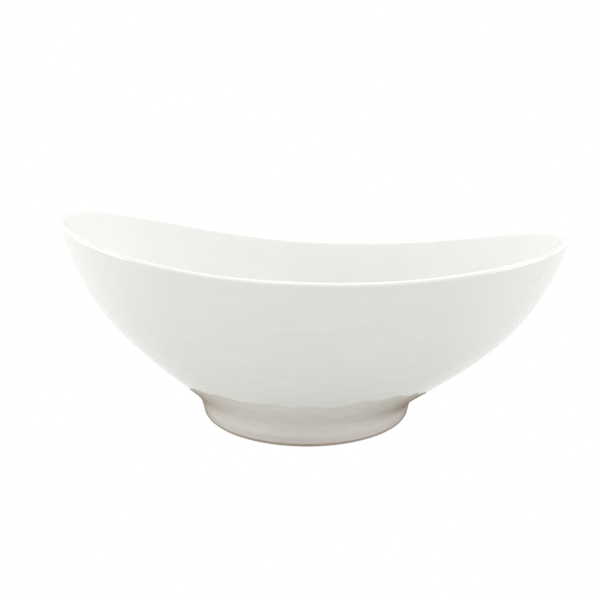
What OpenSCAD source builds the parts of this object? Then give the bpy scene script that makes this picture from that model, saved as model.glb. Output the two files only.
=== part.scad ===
// Boat-shaped porcelain serving bowl on a round foot.
// Millimetres. Origin at the middle of the foot, on the surface the bowl stands on.
// X runs along the bowl, Y across it, +Z up. The higher end of the rim is at -X.

/* [Plan] */
// Length over the two raised ends
bowl_len = 320; // [290:2:340]
// Width across the middle
bowl_w = 190; // [176:2:206]
// Squareness of the oval plan, where 2 is a plain ellipse
plan_power = 2.25; // [2:0.05:2.5]

/* [Rim] */
// Height at which the wall meets the lip, at the middle of each long side
side_h = 100; // [92:0.5:110]
// How far the two ends rise above the sides, on average
end_rise = 22; // [12:1:30]
// How far the -X end stands above that average, and the +X end below it
end_tilt = 6.2; // [0:0.2:8]
// Power of the sweep from the low middle to the raised ends
sweep_power = 2.1; // [1.8:0.1:2.6]
// Thickness of the rounded lip, glaze included
lip_t = 3.6; // [3:0.2:5]

/* [Wall] */
// Thickness low down on the wall, glaze included
base_t = 5.2; // [4:0.2:6]
// Share of the wall's outward run that is spread evenly over its height
even_lean = 0.3; // [0.2:0.02:0.6]
// How quickly the belly swells just above the foot
belly_power = 2.7; // [2:0.1:4]
// How far inside the foot the bowl's own curve would start, as a share of its overhang
tuck = 0.19; // [0.1:0.01:0.4]
// Softness of the hollow curve between foot and belly
hollow = 0.15; // [0.1:0.01:0.4]
// Height of the middle of the inside floor
floor_h = 13; // [11:0.5:16]

/* [Foot] */
// Radius of the foot just above its standing edge
foot_base_r = 69; // [60:0.5:72]
// Radius of the foot where the wall springs from it
foot_top_r = 70.4; // [62:0.1:74]
// Height of the foot
foot_h = 6.5; // [6:0.5:8]
// Inner radius of the standing face
stand_in_r = 61.5; // [56:0.5:63]
// Rounding of the two standing edges
edge_r = 0.9; // [0.5:0.1:1.4]
// Thickness of the slip that joins foot and body
slip_t = 0.5; // [0.4:0.1:0.8]

/* [Glaze] */
// Thickness of the glaze
glaze_t = 0.3; // [0.2:0.05:0.4]
// Height above the standing face at which the glaze stops
glaze_line = 1.6; // [1.5:0.1:2.5]

/* [Detail] */
// Number of sections round the bowl
around = 72; // [48:12:96]
// Number of steps up the outside of the wall
wall_steps = 12; // [8:1:16]
// Number of steps down the inside of the wall
inside_steps = 8; // [6:1:12]
// Number of steps across the floor
floor_steps = 5; // [4:1:8]
// Number of steps over each half of the lip
lip_steps = 3; // [2:1:4]
// Number of steps round each edge and hollow of the foot ring
arc_steps = 5; // [3:1:8]

/* [Hidden] */
half_l = bowl_len / 2;
half_w = bowl_w / 2;
lip_r = lip_t / 2;
floor_join = 0.24;      // share of the wall's height at which the floor's curve takes over
floor_reach = 0.45;     // how far the floor stays level, as a share of its half width
floor_pull = 0.33;      // how far the floor follows the wall's slope, the same way
low_bias = 1.45;        // crowds the sections' points towards the hollow above the foot
nudge = 0.002;          // step in share of height over which a slope is measured
ring_top = foot_h - slip_t;
recess_gap = 0.4;       // straight wall between the recess's hollow curve and its glaze line
recess_r = ring_top - glaze_line - recess_gap;  // radius of that hollow curve
ceiling_r = stand_in_r - recess_r;              // radius of the level ceiling inside it
$fn = 180;

// Directions of the sections round the oval
azimuths = [for (i = [0:around - 1]) 360 * i / around];

// Ratio that draws the exact foot just inside the flats of the swept glaze
inscribe = cos(180 / around);

// ---- the rim line ----

function signed_power(c, p) = sign(c) * pow(abs(c), p);

// Plan of the rim: a superellipse, a little squarer than an ellipse
function rim_xy(t) = [
    half_l * signed_power(cos(t), 2 / plan_power),
    half_w * signed_power(sin(t), 2 / plan_power)
];

// Height at which the wall meets the lip
function rim_z(t) =
    side_h + end_rise * pow(abs(rim_xy(t).x) / half_l, sweep_power) - end_tilt * cos(t);

// ---- one upright section through the wall: points are [distance from the axis, height] ----

// Outward run of the belly at share v of the wall's height
function belly(v) = even_lean * v + (1 - even_lean) * (1 - pow(1 - v, belly_power));

// A ramp that is level below 0 and rises above it, with a soft bend between
function soft_ramp(q) = (q + sqrt(q * q + hollow * hollow)) / 2;

// Share of the overhang reached at share v of the height: 0 at the foot, 1 at the rim
function flare(v) =
    let (low = soft_ramp(-tuck), high = soft_ramp(1))
    (soft_ramp(-tuck + (1 + tuck) * belly(v)) - low) / (high - low);

// Outer face of the finished wall
function outer(t, v) = [
    foot_top_r + (norm(rim_xy(t)) - foot_top_r) * flare(v),
    foot_h + (rim_z(t) - foot_h) * v
];

// Direction up the outer face, and the direction straight out of it
function up_wall(t, v) =
    let (d = outer(t, min(v + nudge, 1)) - outer(t, max(v - nudge, 0)))
    d / norm(d);
function out_of_wall(t, v) = let (u = up_wall(t, v)) [u.y, -u.x];

// The outer face sunk by depth d; at the foot it moves straight in, so its height stays
function outer_sunk(t, v, d) =
    v == 0 ? [foot_top_r - d, foot_h] : outer(t, v) - d * out_of_wall(t, v);

// Thickness of the finished wall
function wall_t(v) = lip_t + (base_t - lip_t) * (1 - v);

// Rounded lip of radius r, from the outside at angle 0 over the crown at 90 to the inside at 180
function lip(t, a, r) =
    let (u = up_wall(t, 1), n = out_of_wall(t, 1))
    outer(t, 1) - lip_r * n + r * (cos(a) * n + sin(a) * u);

// Inner face of the wall, sunk d beneath the finished surface
function inner(t, v, d) = outer(t, v) - (wall_t(v) - d) * out_of_wall(t, v);

// Cubic curve through a and d, leaving along b and arriving from c
function cubic(a, b, c, d, q) =
    pow(1 - q, 3) * a + 3 * pow(1 - q, 2) * q * b + 3 * (1 - q) * q * q * c + pow(q, 3) * d;

// Inside floor, from the wall at q = 1 to level ground at the middle, sunk d beneath the surface
function bowl_floor(t, q, d) =
    let (
        edge = inner(t, floor_join, d),
        middle = [0, floor_h - d]
    )
    cubic(middle, middle + [floor_reach * edge.x, 0],
          edge - floor_pull * edge.x * up_wall(t, floor_join), edge, q);

// Foot's outer face
function foot_r(z) = foot_base_r + (foot_top_r - foot_base_r) * z / foot_h;

// ---- runs of points along a section ----

function outside_run(t, d) = [
    for (i = [0:wall_steps]) outer_sunk(t, pow(i / wall_steps, low_bias), d)
];
function lip_run(t, r, from, to) = [
    for (i = [1:lip_steps]) lip(t, from + (to - from) * i / lip_steps, r)
];
function inside_run(t, d) = [
    for (i = [1:inside_steps]) inner(t, 1 - (1 - floor_join) * i / inside_steps, d)
];
function floor_run(t, d) = [
    for (i = [1:floor_steps - 1]) bowl_floor(t, 1 - i / floor_steps, d)
];
function reversed(run) = [for (i = [len(run) - 1:-1:0]) run[i]];

// ---- solids swept through every section ----

// A section's points, stood up in its own direction
function stand_up(t, run) =
    let (way = rim_xy(t) / norm(rim_xy(t)))
    [for (p = run) [p.x * way.x, p.x * way.y, p.y]];

// Two triangles between rows j and j + 1 of sections i and i + 1
function patch(i, j, rows) =
    let (
        k = (j + 1) % rows,
        a = i * rows,
        b = ((i + 1) % around) * rows
    )
    [[a + j, a + k, b + k], [a + j, b + k, b + j]];

// Solid whose sections are closed loops, such as a skin with a free edge
module swept_loop(sections) {
    rows = len(sections[0]);
    polyhedron(
        [for (i = [0:around - 1]) each stand_up(azimuths[i], sections[i])],
        [for (i = [0:around - 1]) for (j = [0:rows - 1]) each patch(i, j, rows)]
    );
}

// Solid whose sections run from height low on the axis, round, and back to height high on it
module swept_from_axis(sections, low, high) {
    rows = len(sections[0]);
    last = around * rows;
    polyhedron(
        concat(
            [for (i = [0:around - 1]) each stand_up(azimuths[i], sections[i])],
            [[0, 0, low], [0, 0, high]]
        ),
        concat(
            [for (i = [0:around - 1]) for (j = [0:rows - 2]) each patch(i, j, rows)],
            [for (i = [0:around - 1]) [last, i * rows, ((i + 1) % around) * rows]],
            [for (i = [0:around - 1])
                [last + 1, ((i + 1) % around) * rows + rows - 1, i * rows + rows - 1]]
        )
    );
}

// ---- the pieces ----

// Fired porcelain wall and floor, level underneath where the foot is joined
module bowl_body() {
    color("seashell")
        swept_from_axis(
            [for (t = azimuths) concat(
                outside_run(t, glaze_t),
                lip_run(t, lip_r - glaze_t, 0, 90),
                lip_run(t, lip_r - glaze_t, 90, 180),
                inside_run(t, glaze_t),
                floor_run(t, glaze_t)
            )],
            foot_h, floor_h - glaze_t
        );
}

// Points of an arc about c, from angle a to angle b
function arc(c, r, a, b) = [
    for (i = [0:arc_steps])
        let (angle = a + (b - a) * i / arc_steps)
        c + r * [cos(angle), sin(angle)]
];

// Hollow curve inside the foot, from the ceiling down to the upright wall, with radius r
function recess_arc(r) = arc([ceiling_r, ring_top - recess_r], r, 90, 0);

// Foot: a round ring with a level standing face and softened edges
module foot_ring() {
    low_r = (foot_r(edge_r) - glaze_t) * inscribe;
    color("seashell")
        rotate_extrude()
            polygon(concat(
                arc([stand_in_r + edge_r, edge_r], edge_r, 180, 270),
                arc([low_r - edge_r, edge_r], edge_r, 270, 360),
                [[(foot_r(ring_top) - glaze_t) * inscribe, ring_top]],
                recess_arc(recess_r)
            ));
}

// Slip that the foot is stuck on with, pressed flat between foot and body
module luting_slip() {
    color("linen")
        translate([0, 0, ring_top])
            difference() {
                cylinder(h = slip_t, r = (foot_r(ring_top) - glaze_t) * inscribe);
                translate([0, 0, -slip_t])
                    cylinder(h = 3 * slip_t, r = ceiling_r);
            }
}

// Glaze over the inside, from the middle of the floor to the crown of the lip
module inside_glaze() {
    color("white")
        swept_from_axis(
            [for (t = azimuths) concat(
                reversed(floor_run(t, glaze_t)),
                reversed(inside_run(t, glaze_t)),
                reversed(lip_run(t, lip_r - glaze_t, 90, 180)),
                [lip(t, 90, lip_r - glaze_t), lip(t, 90, lip_r)],
                lip_run(t, lip_r, 90, 180),
                inside_run(t, 0),
                floor_run(t, 0)
            )],
            floor_h - glaze_t, floor_h
        );
}

// Glaze over the outside, from the crown of the lip to the bare standing edge
module outside_glaze() {
    color("whitesmoke")
        swept_loop(
            [for (t = azimuths) concat(
                [[foot_r(glaze_line), glaze_line]],
                outside_run(t, 0),
                lip_run(t, lip_r, 0, 90),
                reversed(lip_run(t, lip_r - glaze_t, 0, 90)),
                reversed(outside_run(t, glaze_t)),
                [[foot_r(glaze_line) - glaze_t, glaze_line]]
            )]
        );
}

// Glaze over the hollow under the bowl, filling the corner beside the slip
module recess_glaze() {
    color("whitesmoke")
        rotate_extrude()
            polygon(concat(
                [[0, foot_h - glaze_t], [0, foot_h], [ceiling_r, foot_h]],
                recess_arc(recess_r),
                [[stand_in_r, glaze_line], [stand_in_r - glaze_t, glaze_line]],
                reversed(recess_arc(recess_r - glaze_t)),
                [[ceiling_r - slip_t, foot_h - glaze_t]]
            ));
}

bowl_body();
foot_ring();
luting_slip();
inside_glaze();
outside_glaze();
recess_glaze();
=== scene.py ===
"""Looks of a boat-shaped porcelain serving bowl: fired body, foot, slip and three coats of glaze.

Every curved face is one section through the wall, stood up in each direction round the oval rim.
A point of a section is held as a complex number: its distance from the axis plus 1j times its height.
"""

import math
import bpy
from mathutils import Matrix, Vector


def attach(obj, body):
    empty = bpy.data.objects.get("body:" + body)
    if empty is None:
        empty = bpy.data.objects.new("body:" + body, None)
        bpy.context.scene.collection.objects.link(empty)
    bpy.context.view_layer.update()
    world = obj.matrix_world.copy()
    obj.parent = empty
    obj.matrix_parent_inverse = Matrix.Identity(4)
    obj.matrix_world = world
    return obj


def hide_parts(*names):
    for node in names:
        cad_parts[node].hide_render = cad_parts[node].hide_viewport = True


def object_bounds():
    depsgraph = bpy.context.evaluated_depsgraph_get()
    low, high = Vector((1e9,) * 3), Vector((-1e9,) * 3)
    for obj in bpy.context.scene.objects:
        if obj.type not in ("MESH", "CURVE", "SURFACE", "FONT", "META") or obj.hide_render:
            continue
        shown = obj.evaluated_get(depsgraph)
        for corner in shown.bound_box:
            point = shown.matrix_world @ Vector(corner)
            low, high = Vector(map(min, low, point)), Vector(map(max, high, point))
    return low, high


bl_info = {
    "name": "Porcelain Serving Bowl",
    "version": (1, 0, 0),
    "blender": (4, 5, 0),
    "location": "3D View > Sidebar > Bowl",
    "description": "Builds a long oval porcelain bowl on a round foot, with its glaze and a plain studio",
    "category": "Add Mesh",
}

import bpy
import numpy as np

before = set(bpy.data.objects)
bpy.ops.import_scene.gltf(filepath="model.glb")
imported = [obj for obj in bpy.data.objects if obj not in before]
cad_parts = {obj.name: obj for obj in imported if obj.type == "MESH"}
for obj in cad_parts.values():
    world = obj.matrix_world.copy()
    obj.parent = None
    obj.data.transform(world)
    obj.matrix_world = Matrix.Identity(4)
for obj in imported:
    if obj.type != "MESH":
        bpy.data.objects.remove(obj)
CAD_BOX = [list(corner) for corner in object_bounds()]

MM = 0.001
BODY = "root"
LOW, HIGH = CAD_BOX

FLOOR_JOIN = 0.24  # share of the wall's height at which the floor's curve takes over
FLOOR_REACH = 0.45  # how far the floor stays level, as a share of its half width
FLOOR_PULL = 0.33  # how far the floor follows the wall's slope, the same way
SLOPE_STEP = 0.002  # step in share of height over which a slope is measured
CLEARANCE = 0.26 * MM  # how far the body keeps back from the rippled glaze
RING_SIDES = 96  # sides of the stage's rings


# ---------------------------------------------------------------- sizes and colours


def length(name, text, mm, low, high):
    """One length property, given in millimetres and held in metres."""
    return bpy.props.FloatProperty(
        name=name,
        description=text,
        default=mm * MM,
        min=low * MM,
        max=high * MM,
        unit="LENGTH",
        precision=4,
    )


def share(name, text, value, low, high):
    """One plain number property."""
    return bpy.props.FloatProperty(name=name, description=text, default=value, min=low, max=high)


def count(name, text, value, low, high):
    """One whole number property."""
    return bpy.props.IntProperty(name=name, description=text, default=value, min=low, max=high)


def srgb(code):
    """Linear red, green and blue of an sRGB hex colour such as "F4F3EE"."""
    parts = [int(code[i : i + 2], 16) / 255 for i in (0, 2, 4)]
    return tuple(c / 12.92 if c <= 0.04045 else ((c + 0.055) / 1.055) ** 2.4 for c in parts)


def colour(name, text, code):
    """One colour property, given as an sRGB hex value."""
    return bpy.props.FloatVectorProperty(
        name=name, description=text, default=srgb(code), size=3, min=0.0, max=1.0, subtype="COLOR"
    )


class BowlShape(bpy.types.PropertyGroup):
    """Sizes of the bowl. They are the same as the solid model's."""

    length: length("Length", "Length over the two raised ends", (HIGH[0] - LOW[0]) / MM, 290, 340)
    width: length("Width", "Width across the middle", (HIGH[1] - LOW[1]) / MM, 176, 206)
    plan_power: share("Plan power", "Squareness of the oval, where 2 is an ellipse", 2.25, 2, 2.5)
    side_height: length("Side height", "Height at which wall and lip meet at the sides", 100, 92, 110)
    end_rise: length("End rise", "How far the ends rise above the sides, on average", 22, 12, 30)
    end_tilt: length("End tilt", "How far the -X end stands above that average", 6.2, 0, 8)
    sweep_power: share("Sweep power", "Power of the rim's sweep up to the ends", 2.1, 1.8, 2.6)
    lip: length("Lip", "Thickness of the rounded lip", 3.6, 3, 5)
    low_wall: length("Low wall", "Thickness low down on the wall", 5.2, 4, 6)
    even_lean: share("Even lean", "Share of the wall's outward run spread over its height", 0.3, 0.2, 0.6)
    belly_power: share("Belly power", "How quickly the belly swells above the foot", 2.7, 2, 4)
    tuck: share("Tuck", "How far inside the foot the bowl's own curve would start", 0.19, 0.1, 0.4)
    hollow: share("Hollow", "Softness of the hollow curve between foot and belly", 0.15, 0.1, 0.4)
    floor: length("Floor", "Height of the middle of the inside floor", 13, 11, 16)
    foot_base: length("Foot base", "Radius of the foot at its standing edge", 69, 60, 72)
    foot_top: length("Foot top", "Radius of the foot where the wall springs from it", 70.4, 62, 74)
    foot_height: length("Foot height", "Height of the foot", 6.5, 6, 8)
    glaze: length("Glaze", "Thickness of the glaze", 0.3, 0.2, 0.4)
    glaze_line: length("Glaze line", "Height at which the glaze stops above the table", 1.6, 1.5, 2.5)


class BowlRipple(bpy.types.PropertyGroup):
    """The shallow dimples in level rings on the outside."""

    ring_gap: length("Ring gap", "Distance from one ring of dimples to the next", 6.4, 3, 12)
    around: count("Dimples", "Number of dimples in one ring", 66, 20, 90)
    depth: length("Depth", "Depth of a dimple below the ridges beside it", 0.2, 0, 0.25)
    wander: share("Wander", "How far a dimple strays from its even place", 0.34, 0, 0.5)
    lip_fade: length("Lip fade", "Smooth band under the lip", 9, 2, 20)


class BowlMesh(bpy.types.PropertyGroup):
    """Fineness of the meshes."""

    outside_around: count("Outside sections", "Sections round the rippled outside", 640, 160, 800)
    outside_rows: count("Outside rows", "Rows up the rippled outside", 112, 40, 140)
    smooth_around: count("Smooth sections", "Sections round the smooth pieces", 256, 96, 512)
    smooth_rows: count("Smooth rows", "Rows up the smooth pieces", 48, 16, 96)
    floor_rows: count("Floor rows", "Rows across the inside floor", 28, 8, 48)
    lip_rows: count("Lip rows", "Rows over each half of the lip", 8, 4, 16)


class BowlColours(bpy.types.PropertyGroup):
    """Colours of the glaze and of the bare porcelain."""

    glaze_light: colour("Glaze", "Clear glaze over white porcelain", "F5F6F3")
    glaze_deep: colour("Glaze pool", "The same glaze where it lies a little thicker", "F2F3EF")
    bisque_light: colour("Bare porcelain", "Unglazed porcelain of the standing edge", "DDD7CB")
    bisque_deep: colour("Worn porcelain", "The same where it is rubbed", "C9C2B4")


class BowlStage(bpy.types.PropertyGroup):
    """Camera, floor and lights."""

    camera_back: length("Camera back", "Distance of the camera in front of the foot", 388.7, 200, 900)
    camera_side: length("Camera side", "Distance of the camera to the right of the foot", 47.0, -200, 200)
    camera_height: length("Camera height", "Height of the camera above the table", 154.6, 50, 600)
    camera_turn: bpy.props.FloatProperty(
        name="Camera turn",
        description="Heading of the camera, to the left of straight ahead",
        default=0.1307,
        subtype="ANGLE",
    )
    camera_tip: bpy.props.FloatProperty(
        name="Camera tip",
        description="Tip of the camera below level",
        default=0.2055,
        subtype="ANGLE",
    )
    lens: share("Lens", "Focal length in millimetres for a 36 mm wide sensor", 35.87, 18, 120)
    floor_colour: colour("Floor", "Pale floor and surround that the camera sees", "FFFFFF")
    table_colour: colour("Table", "Table that throws light back under the bowl", "C0C0BC")
    # Painted shade: a warm dark sheet under the foot, unseen by the camera, darkens the foot from below and
    # tints it warm, standing in for the table lying in the bowl's shadow.
    painted_shade_colour: colour("Card", "Warm dark card under the foot, which shades it from below", "8F7252")
    painted_shade_radius: length("Card radius", "Radius of that card", 88, 80, 300)
    surround: share("Surround", "Brightness of the even light from all round", 0.68, 0, 2)
    overhead: share("Overhead", "Brightness of the softbox above the bowl", 1.05, 0, 6)
    left: share("Left", "Brightness of the low softbox at the front left", 4.8, 0, 12)
    right: share("Right", "Brightness of the low softbox at the front right", 3.5, 0, 12)
    front: share("Front", "Brightness of the wide front fill", 0.3, 0, 6)


def bowl_settings():
    """The scene's property groups, by short name."""
    scene = bpy.context.scene
    return scene.bowl_shape, scene.bowl_ripple, scene.bowl_mesh, scene.bowl_colours, scene.bowl_stage


# ---------------------------------------------------------------- the section through the wall


def signed_power(c, p):
    """|c| to the power p, with the sign of c."""
    return np.sign(c) * np.abs(c) ** p


class Wall:
    """The wall's section at directions t (radians, one row each) and shares v of its height."""

    def __init__(self, shape, t):
        self.s = shape
        self.t = np.asarray(t, float)[:, None]
        x = shape.length / 2 * signed_power(np.cos(self.t), 2 / shape.plan_power)
        y = shape.width / 2 * signed_power(np.sin(self.t), 2 / shape.plan_power)
        self.rim_radius = np.hypot(x, y)
        self.way = np.stack([x, y], -1) / self.rim_radius[..., None]
        sweep = np.abs(2 * x / shape.length) ** shape.sweep_power
        self.rim_height = shape.side_height + shape.end_rise * sweep - shape.end_tilt * np.cos(self.t)

    def flare(self, v):
        """Share of the overhang at share v of the height: a swelling belly, joined softly to the foot."""
        s = self.s

        def soft_ramp(q):
            return (q + np.sqrt(q * q + s.hollow**2)) / 2

        belly = s.even_lean * v + (1 - s.even_lean) * (1 - (1 - v) ** s.belly_power)
        low, high = soft_ramp(-s.tuck), soft_ramp(1.0)
        return (soft_ramp(-s.tuck + (1 + s.tuck) * belly) - low) / (high - low)

    def outer(self, v):
        """Outer face: from the foot's radius and height to the rim's."""
        s = self.s
        radius = s.foot_top + (self.rim_radius - s.foot_top) * self.flare(v)
        return radius + 1j * (s.foot_height + (self.rim_height - s.foot_height) * v)

    def up(self, v):
        """Unit direction up the outer face, from a small step each way."""
        d = self.outer(np.minimum(v + SLOPE_STEP, 1)) - self.outer(np.maximum(v - SLOPE_STEP, 0))
        return d / np.abs(d)

    def out(self, v):
        """Unit direction straight out of the outer face: up, turned a quarter to the right."""
        return -1j * self.up(v)

    def outer_sunk(self, v, depth):
        """Outer face sunk by depth. At the foot it moves level, and this turns into square to the wall."""
        turn = np.clip(v / 0.03, 0, 1)
        direction = (1 - turn) + turn * self.out(v)
        return self.outer(v) - depth * direction / np.abs(direction)

    def thickness(self, v):
        """Thickness of the wall, from low_wall at the foot to the lip's at the rim."""
        return self.s.lip + (self.s.low_wall - self.s.lip) * (1 - v)

    def inner(self, v, depth):
        """Inner face of the wall, sunk by depth beneath the glaze."""
        return self.outer(v) - (self.thickness(v) - depth) * self.out(v)

    def lip(self, angle, radius):
        """Round lip: angle 0 is outside, a quarter turn is the crown, a half turn is inside."""
        one = np.ones((1, 1))
        n, u = self.out(one), self.up(one)
        return self.outer(one) - self.s.lip / 2 * n + radius * (np.cos(angle) * n + np.sin(angle) * u)

    def floor(self, q, depth):
        """Inside floor: a cubic from level ground in the middle (q = 0) to the wall's own slope (q = 1)."""
        join = np.full((1, 1), FLOOR_JOIN)
        edge = self.inner(join, depth)
        middle = 1j * (self.s.floor - depth)
        a, b = middle, middle + FLOOR_REACH * edge.real
        c, d = edge - FLOOR_PULL * edge.real * self.up(join), edge
        return (1 - q) ** 3 * a + 3 * (1 - q) ** 2 * q * b + 3 * (1 - q) * q * q * c + q**3 * d

    def stand_up(self, section):
        """Section points as x, y, z: the radius is laid along each section's own direction."""
        return np.concatenate(
            [section.real[..., None] * self.way, section.imag[..., None]], axis=-1
        )


def turns(number):
    """Evenly spaced directions round the bowl, in radians."""
    return np.arange(number) * (2 * math.pi / number)


def even_rows(shape, rows):
    """Shares of height spaced evenly along the wall, and the distance along it in metres."""
    v = np.linspace(0, 1, 400)
    run = Wall(shape, [math.pi / 4]).outer(v[None])[0]
    along = np.concatenate([[0], np.cumsum(np.abs(np.diff(run)))])
    places = np.linspace(0, along[-1], rows)
    return np.interp(places, along, v), places


def foot_radius(shape, height):
    """Outer radius of the foot at a height: a straight taper."""
    return shape.foot_base + (shape.foot_top - shape.foot_base) * height / shape.foot_height


# ---------------------------------------------------------------- ripples


def dimples(ripple, turn, rise):
    """Height of the rippled face, at most 0, at shares of a turn and distances up the wall.

    Each dimple is a shallow paraboloid about its own point. Neighbours meet in a soft ridge, because the
    squared distances are joined by a smooth minimum, and every second ring is staggered by half a dimple.
    """
    rng = np.random.default_rng(7)
    rings = 40
    stray_x = rng.uniform(-1, 1, (rings, ripple.around)) * ripple.wander
    stray_y = rng.uniform(-1, 1, (rings, ripple.around)) * ripple.wander * 0.7
    strength = rng.uniform(0.35, 1.0, (rings, ripple.around))
    col = turn * ripple.around
    row = rise / ripple.ring_gap + 5
    i0, j0 = np.floor(col).astype(int), np.floor(row).astype(int)
    sharpness = 7.0
    total = np.zeros(np.broadcast(col, row).shape)
    power = np.zeros_like(total)
    for dj in (-1, 0, 1):
        for di in (-2, -1, 0, 1, 2):
            j = np.clip(j0 + dj, 0, rings - 1)
            i = i0 + di
            wrapped = i % ripple.around
            x = i + 0.5 + 0.5 * (j % 2) + stray_x[j, wrapped]
            y = j + 0.5 + stray_y[j, wrapped]
            weight = np.exp(-sharpness * ((col - x) ** 2 + (row - y) ** 2))
            total += weight
            power += weight * strength[j, wrapped]
    ridge = 0.36
    height = np.minimum(-np.log(total) / sharpness, ridge) / ridge
    return ripple.depth * (power / total) * (height - 1)


def smooth_step(x):
    """0 below 0, 1 above 1, and a smooth rise between."""
    x = np.clip(x, 0, 1)
    return x * x * (3 - 2 * x)


# ---------------------------------------------------------------- meshes


def ring_faces(sections, rows, closed):
    """Quads between neighbouring sections; closed also joins each section's last point to its first."""
    i = np.arange(sections)[:, None]
    j = np.arange(rows if closed else rows - 1)[None]
    a, b = i * rows, (i + 1) % sections * rows
    k = (j + 1) % rows
    return np.stack(np.broadcast_arrays(a + j, b + j, b + k, a + k), -1).reshape(-1, 4)


def make_piece(name, grid, node, material, poles=None):
    """Mesh piece from a grid of points (section, row, xyz).

    Without poles each section is a closed loop. With them, it runs from the first pole on the axis to the
    second, and a fan of triangles closes each end.
    """
    sections, rows = grid.shape[:2]
    points = grid.reshape(-1, 3)
    quads = ring_faces(sections, rows, poles is None)
    loops, starts = quads.ravel(), np.arange(len(quads)) * 4
    if poles is not None:
        first, last = len(points), len(points) + 1
        points = np.concatenate([points, [[0, 0, poles[0]], [0, 0, poles[1]]]])
        here = np.arange(sections) * rows
        after = np.roll(here, -1)
        low_fan = np.stack([np.full(sections, first), after, here], -1)
        high_fan = np.stack([here + rows - 1, after + rows - 1, np.full(sections, last)], -1)
        fans = np.concatenate([low_fan, high_fan]).ravel()
        starts = np.concatenate([starts, len(loops) + np.arange(2 * sections) * 3])
        loops = np.concatenate([loops, fans])
    mesh = bpy.data.meshes.new(name)
    mesh.vertices.add(len(points))
    mesh.vertices.foreach_set("co", points.astype(np.float32).ravel())
    mesh.loops.add(len(loops))
    mesh.loops.foreach_set("vertex_index", loops.astype(np.int32))
    mesh.polygons.add(len(starts))
    mesh.polygons.foreach_set("loop_start", starts.astype(np.int32))
    mesh.polygons.foreach_set("use_smooth", np.ones(len(starts), bool))
    mesh.update(calc_edges=True)
    if mesh.validate():
        raise RuntimeError(f"{name} has faces that Blender had to mend")
    piece = bpy.data.objects.new(name, mesh)
    bpy.context.scene.collection.objects.link(piece)
    mesh.materials.append(material)
    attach(piece, BODY)
    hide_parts(node)
    return piece


# ---------------------------------------------------------------- materials


def add_node(tree, kind, inputs=None, **settings):
    """Adds a node, sets its fields and inputs, and links the inputs that are given as sockets."""
    made = tree.nodes.new(kind)
    for field, value in settings.items():
        setattr(made, field, value)
    for key, value in (inputs or {}).items():
        if isinstance(value, bpy.types.NodeSocket):
            tree.links.new(value, made.inputs[key])
        else:
            made.inputs[key].default_value = value
    return made


def new_material(name):
    """An empty node material, with its tree and its output node."""
    material = bpy.data.materials.new(name)
    material.use_nodes = True
    tree = material.node_tree
    tree.nodes.clear()
    return material, tree, tree.nodes.new("ShaderNodeOutputMaterial")


def mottled(tree, place, size, low, high, detail=2.0):
    """A soft cloud of the given size in metres, stretched from low to high."""
    cloud = add_node(
        tree, "ShaderNodeTexNoise", {"Vector": place, "Scale": 1 / size, "Detail": detail, "Roughness": 0.5}
    )
    return add_node(
        tree,
        "ShaderNodeMapRange",
        {"Value": cloud.outputs["Fac"], "From Min": 0.3, "From Max": 0.7, "To Min": low, "To Max": high},
    ).outputs["Result"]


def glazed_porcelain(name, light, deep, roughness):
    """Glazed porcelain, dipped and gloss fired: white clay under a clear glassy coat.

    The eye sees a bright, slightly milky white that pools a shade cooler where the glaze lies thicker, and a
    clean soft reflection broken only by the faint orange-peel of a fired glaze.
    """
    material, tree, end = new_material(name)
    place = add_node(tree, "ShaderNodeTexCoord").outputs["Object"]
    pool = mottled(tree, place, 45 * MM, 0.0, 1.0)
    tint = add_node(
        tree,
        "ShaderNodeMix",
        {"Factor": pool, "A": (*light, 1), "B": (*deep, 1)},
        data_type="RGBA",
    )
    gloss = mottled(tree, place, 18 * MM, roughness * 0.8, roughness * 1.25)
    peel = add_node(
        tree, "ShaderNodeTexNoise", {"Vector": place, "Scale": 1 / (2.2 * MM), "Detail": 1.0}
    )
    bump = add_node(
        tree,
        "ShaderNodeBump",
        {"Height": peel.outputs["Fac"], "Strength": 0.06, "Distance": 0.05 * MM},
    )
    shader = add_node(
        tree,
        "ShaderNodeBsdfPrincipled",
        {
            "Base Color": tint.outputs["Result"],
            "Roughness": gloss,
            "Normal": bump.outputs["Normal"],
            "IOR": 1.5,
            "Coat Weight": 0.4,
            "Coat Roughness": 0.06,
            "Coat IOR": 1.5,
        },
    )
    tree.links.new(shader.outputs["BSDF"], end.inputs["Surface"])
    return material


def bare_porcelain(name, light, deep):
    """Unglazed porcelain, sponged and fired: a dense fine-grained body with no gloss.

    The eye sees a warm matt white, with the fine tooth of sponged clay and greyer patches where it is rubbed.
    """
    material, tree, end = new_material(name)
    place = add_node(tree, "ShaderNodeTexCoord").outputs["Object"]
    rub = mottled(tree, place, 9 * MM, 0.0, 1.0, detail=4.0)
    tint = add_node(
        tree, "ShaderNodeMix", {"Factor": rub, "A": (*light, 1), "B": (*deep, 1)}, data_type="RGBA"
    )
    # The real grain is about 0.05 mm; it is drawn at 0.5 mm so that it shows.
    grain = add_node(
        tree, "ShaderNodeTexNoise", {"Vector": place, "Scale": 1 / (0.5 * MM), "Detail": 3.0}
    )
    bump = add_node(
        tree,
        "ShaderNodeBump",
        {"Height": grain.outputs["Fac"], "Strength": 0.5, "Distance": 0.05 * MM},
    )
    rough = mottled(tree, place, 4 * MM, 0.62, 0.8)
    shader = add_node(
        tree,
        "ShaderNodeBsdfPrincipled",
        {
            "Base Color": tint.outputs["Result"],
            "Roughness": rough,
            "Normal": bump.outputs["Normal"],
            "IOR": 1.5,
        },
    )
    tree.links.new(shader.outputs["BSDF"], end.inputs["Surface"])
    return material


def matt_surface(name, tint):
    """A plain matt surface of the stage."""
    material, tree, end = new_material(name)
    shader = add_node(
        tree, "ShaderNodeBsdfPrincipled", {"Base Color": (*tint, 1), "Roughness": 0.9}
    )
    tree.links.new(shader.outputs["BSDF"], end.inputs["Surface"])
    return material


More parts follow.
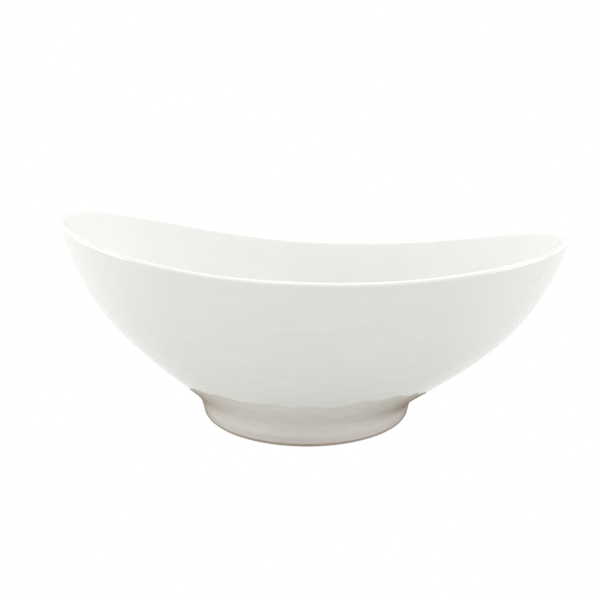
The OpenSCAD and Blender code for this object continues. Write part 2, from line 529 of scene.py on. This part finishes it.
def pale_backdrop(name, tint):
    """Evenly bright paper, seen only from its front: from behind it lets the view through."""
    material, tree, end = new_material(name)
    front = add_node(tree, "ShaderNodeEmission", {"Color": (*tint, 1), "Strength": 1.0})
    back = add_node(tree, "ShaderNodeBsdfTransparent")
    side = add_node(tree, "ShaderNodeNewGeometry")
    paper = add_node(
        tree,
        "ShaderNodeMixShader",
        {0: side.outputs["Backfacing"], 1: front.outputs[0], 2: back.outputs[0]},
    )
    tree.links.new(paper.outputs[0], end.inputs["Surface"])
    return material


def material_once(name, maker, *values):
    """The named material, made the first time it is asked for."""
    return bpy.data.materials.get(name) or maker(name, *values)


def smooth_glaze():
    """Material of the smooth glaze inside and under the bowl."""
    c = bpy.context.scene.bowl_colours
    return material_once("glazed_porcelain_smooth", glazed_porcelain, c.glaze_light, c.glaze_deep, 0.10)


def rippled_glaze():
    """Material of the glaze over the rippled outside."""
    c = bpy.context.scene.bowl_colours
    return material_once("glazed_porcelain_rippled", glazed_porcelain, c.glaze_light, c.glaze_deep, 0.14)


def bisque():
    """Material of the bare porcelain."""
    c = bpy.context.scene.bowl_colours
    return material_once("bare_porcelain", bare_porcelain, c.bisque_light, c.bisque_deep)


# ---------------------------------------------------------------- operators


class BOWL_OT_body(bpy.types.Operator):
    """Builds the fired body that the glaze lies on"""

    bl_idname = "bowl.body"
    bl_label = "Fired body"

    def execute(self, context):
        shape, _ripple, fine, _colours, _stage = bowl_settings()
        wall = Wall(shape, turns(fine.smooth_around))
        v = even_rows(shape, fine.smooth_rows)[0]
        half = np.linspace(0, math.pi, 2 * fine.lip_rows + 1)[None, 1:]
        down = np.linspace(1, FLOOR_JOIN, fine.smooth_rows)[None, 1:]
        q = np.linspace(1, 0, fine.floor_rows)[None, 1:-1]
        section = np.concatenate(
            [
                wall.outer_sunk(v[None], shape.glaze + CLEARANCE),
                wall.lip(half, shape.lip / 2 - shape.glaze),
                wall.inner(down, shape.glaze),
                wall.floor(q, shape.glaze),
            ],
            axis=1,
        )
        grid = wall.stand_up(section)
        poles = (shape.foot_height, shape.floor - shape.glaze)
        make_piece("bowl_body_shell", grid, "bowl_body", bisque(), poles)
        return {"FINISHED"}


class BOWL_OT_inside_glaze(bpy.types.Operator):
    """Builds the smooth glaze from the middle of the floor to the crown of the lip"""

    bl_idname = "bowl.inside_glaze"
    bl_label = "Inside glaze"

    def execute(self, context):
        shape, _ripple, fine, _colours, _stage = bowl_settings()
        wall = Wall(shape, turns(fine.smooth_around))
        crown = np.linspace(math.pi / 2, math.pi, fine.lip_rows + 1)[None]
        down = np.linspace(1, FLOOR_JOIN, fine.smooth_rows)[None, 1:]
        q = np.linspace(1, 0, fine.floor_rows)[None, 1:-1]

        def face(depth):
            return np.concatenate(
                [wall.lip(crown, shape.lip / 2 - depth), wall.inner(down, depth), wall.floor(q, depth)],
                axis=1,
            )

        section = np.concatenate([face(shape.glaze)[:, ::-1], face(0.0)], axis=1)
        grid = wall.stand_up(section)
        poles = (shape.floor - shape.glaze, shape.floor)
        make_piece("inside_glaze_coat", grid, "inside_glaze", smooth_glaze(), poles)
        return {"FINISHED"}


class BOWL_OT_outside_glaze(bpy.types.Operator):
    """Builds the rippled glaze from the crown of the lip down to the bare standing edge"""

    bl_idname = "bowl.outside_glaze"
    bl_label = "Outside glaze"

    def execute(self, context):
        shape, ripple, fine, _colours, _stage = bowl_settings()
        t = turns(fine.outside_around)
        wall = Wall(shape, t)
        v, along = even_rows(shape, fine.outside_rows)
        foot_z = np.linspace(shape.glaze_line, shape.foot_height, 6)[:-1]
        rise = np.concatenate([foot_z - shape.foot_height, along])
        turn = (t / (2 * math.pi))[:, None]
        relief = dimples(ripple, turn, rise[None])
        relief = relief * smooth_step((along[-1] - rise) / ripple.lip_fade)[None]
        relief = relief * smooth_step((rise - rise[0]) / (2 * MM))[None]
        foot = np.broadcast_to(foot_radius(shape, foot_z) + 1j * foot_z, (len(t), len(foot_z)))
        feet = len(foot_z)

        def face(depth, relief):
            crown = np.linspace(0, math.pi / 2, fine.lip_rows + 1)[None, 1:]
            low = foot - depth + relief[:, :feet]
            return np.concatenate(
                [
                    low,
                    wall.outer_sunk(v[None], depth - relief[:, feet:]),
                    wall.lip(crown, shape.lip / 2 - depth),
                ],
                axis=1,
            )

        skin = face(0.0, relief)
        back = face(shape.glaze, 0 * relief)[:, ::-1]
        grid = wall.stand_up(np.concatenate([skin, back], axis=1))
        make_piece("outside_glaze_coat", grid, "outside_glaze", rippled_glaze())
        return {"FINISHED"}


class BOWL_OT_foot(bpy.types.Operator):
    """Gives the foot, the slip and the glaze under the bowl their finishes"""

    bl_idname = "bowl.foot"
    bl_label = "Foot, slip and recess"

    def execute(self, context):
        finishes = {"foot_ring": bisque(), "luting_slip": bisque(), "recess_glaze": smooth_glaze()}
        for name, material in finishes.items():
            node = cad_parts[name]
            node.data.materials.clear()
            node.data.materials.append(material)
        return {"FINISHED"}


def level_ring(name, inner, outer, height, material):
    """A level ring that faces up, open inside the inner radius."""
    angle, sides = turns(RING_SIDES), RING_SIDES
    rims = [np.stack([r * np.cos(angle), r * np.sin(angle), 0 * angle + height], -1) for r in (inner, outer)]
    faces = [[i, i + sides, (i + 1) % sides + sides, (i + 1) % sides] for i in range(sides)]
    mesh = bpy.data.meshes.new(name)
    mesh.from_pydata(np.concatenate(rims).tolist(), [], faces)
    mesh.materials.append(material)
    ring = bpy.data.objects.new(name, mesh)
    bpy.context.scene.collection.objects.link(ring)
    return ring


def soft_light(name, place, size, brightness):
    """A rectangular softbox that faces the middle of the bowl, where a brightness of 1 is paper white."""
    lamp = bpy.data.lights.new(name, "AREA")
    lamp.shape = "RECTANGLE"
    lamp.size, lamp.size_y = size
    lamp.energy = brightness * math.pi * size[0] * size[1]
    box = bpy.data.objects.new(name, lamp)
    bpy.context.scene.collection.objects.link(box)
    box.location = place
    aim = np.array([0.0, 0.0, 0.06]) - np.array(place)
    heading = math.atan2(-aim[0], aim[1])
    tip = math.atan2(math.hypot(aim[0], aim[1]), -aim[2])
    box.rotation_euler = (tip, 0.0, heading)
    return box


class BOWL_OT_stage(bpy.types.Operator):
    """Sets up the floor, the soft studio light and the camera"""

    bl_idname = "bowl.stage"
    bl_label = "Stage"

    def execute(self, context):
        scene = context.scene
        stage = scene.bowl_stage
        paper = pale_backdrop("pale_backdrop", stage.floor_colour)
        # The floor is open under the hollow of the foot, so that the glaze there is lit.
        hole = scene.bowl_shape.foot_base - 1.5 * MM
        floor = level_ring("pale_floor", hole, 6.0, -0.3 * MM, paper)
        floor.visible_diffuse = floor.visible_glossy = floor.visible_shadow = False
        table = level_ring("table", hole, 3.0, -0.4 * MM, matt_surface("matt_table", stage.table_colour))
        # Painted shade: this warm dark sheet round the foot is hidden from the camera and only darkens and
        # warms the foot's lower part, in place of the table lying in the bowl's shadow.
        dark = matt_surface("matt_painted_shade", stage.painted_shade_colour)
        card = level_ring("painted_shade_sheet", hole, stage.painted_shade_radius, -0.35 * MM, dark)
        table.visible_camera = card.visible_camera = table.visible_glossy = False

        world = bpy.data.worlds.new("studio_surround")
        world.use_nodes = True
        tree = world.node_tree
        tree.nodes.clear()
        seen = add_node(tree, "ShaderNodeBackground", {"Color": (*stage.floor_colour, 1), "Strength": 1.0})
        light = add_node(tree, "ShaderNodeBackground", {"Color": (1, 1, 1, 1), "Strength": stage.surround})
        ray = add_node(tree, "ShaderNodeLightPath")
        mirrored = add_node(
            tree,
            "ShaderNodeMath",
            {0: ray.outputs["Is Camera Ray"], 1: ray.outputs["Is Glossy Ray"]},
            operation="MAXIMUM",
        )
        both = add_node(
            tree,
            "ShaderNodeMixShader",
            {0: mirrored.outputs[0], 1: light.outputs[0], 2: seen.outputs[0]},
        )
        add_node(tree, "ShaderNodeOutputWorld", {"Surface": both.outputs[0]})
        scene.world = world
        scene.view_settings.view_transform = "Standard"

        soft_light("overhead_softbox", (0.1, 0.1, 1.2), (1.5, 1.3), stage.overhead)
        soft_light("left_softbox", (-1.05, -0.3, 0.22), (0.7, 0.4), stage.left)
        soft_light("right_softbox", (1.05, -0.3, 0.22), (0.7, 0.4), stage.right)
        soft_light("front_fill", (0.1, -1.5, 0.6), (1.2, 0.6), stage.front)

        lens = bpy.data.cameras.new("front_camera")
        lens.sensor_width = 36.0
        lens.lens = stage.lens
        camera = bpy.data.objects.new("front_camera", lens)
        scene.collection.objects.link(camera)
        camera.location = (stage.camera_side, -stage.camera_back, stage.camera_height)
        camera.rotation_euler = (math.pi / 2 - stage.camera_tip, 0.0, stage.camera_turn)
        scene.camera = camera
        return {"FINISHED"}


class BOWL_PT_panel(bpy.types.Panel):
    """Lists the pieces of the bowl and their sizes"""

    bl_idname = "BOWL_PT_panel"
    bl_label = "Porcelain Bowl"
    bl_space_type = "VIEW_3D"
    bl_region_type = "UI"
    bl_category = "Bowl"

    def draw(self, context):
        for operator in PIECES:
            self.layout.operator(operator.bl_idname)
        for name, group in GROUPS.items():
            box = self.layout.box()
            box.label(text=group.__doc__)
            settings = getattr(context.scene, name)
            for field in group.__annotations__:
                box.prop(settings, field)


GROUPS = {
    "bowl_shape": BowlShape,
    "bowl_ripple": BowlRipple,
    "bowl_mesh": BowlMesh,
    "bowl_colours": BowlColours,
    "bowl_stage": BowlStage,
}
PIECES = (BOWL_OT_body, BOWL_OT_inside_glaze, BOWL_OT_outside_glaze, BOWL_OT_foot, BOWL_OT_stage)


def register():
    """Registers every class and hangs the settings on the scene."""
    for cls in (*GROUPS.values(), *PIECES, BOWL_PT_panel):
        bpy.utils.register_class(cls)
    for name, group in GROUPS.items():
        setattr(bpy.types.Scene, name, bpy.props.PointerProperty(type=group))


def unregister():
    """Takes everything back off."""
    for name in GROUPS:
        delattr(bpy.types.Scene, name)
    for cls in reversed((*GROUPS.values(), *PIECES, BOWL_PT_panel)):
        bpy.utils.unregister_class(cls)


def main():
    """Builds the bowl and its stage."""
    register()
    bpy.ops.bowl.body()
    bpy.ops.bowl.inside_glaze()
    bpy.ops.bowl.outside_glaze()
    bpy.ops.bowl.foot()
    bpy.ops.bowl.stage()


if __name__ == "__main__":
    main()
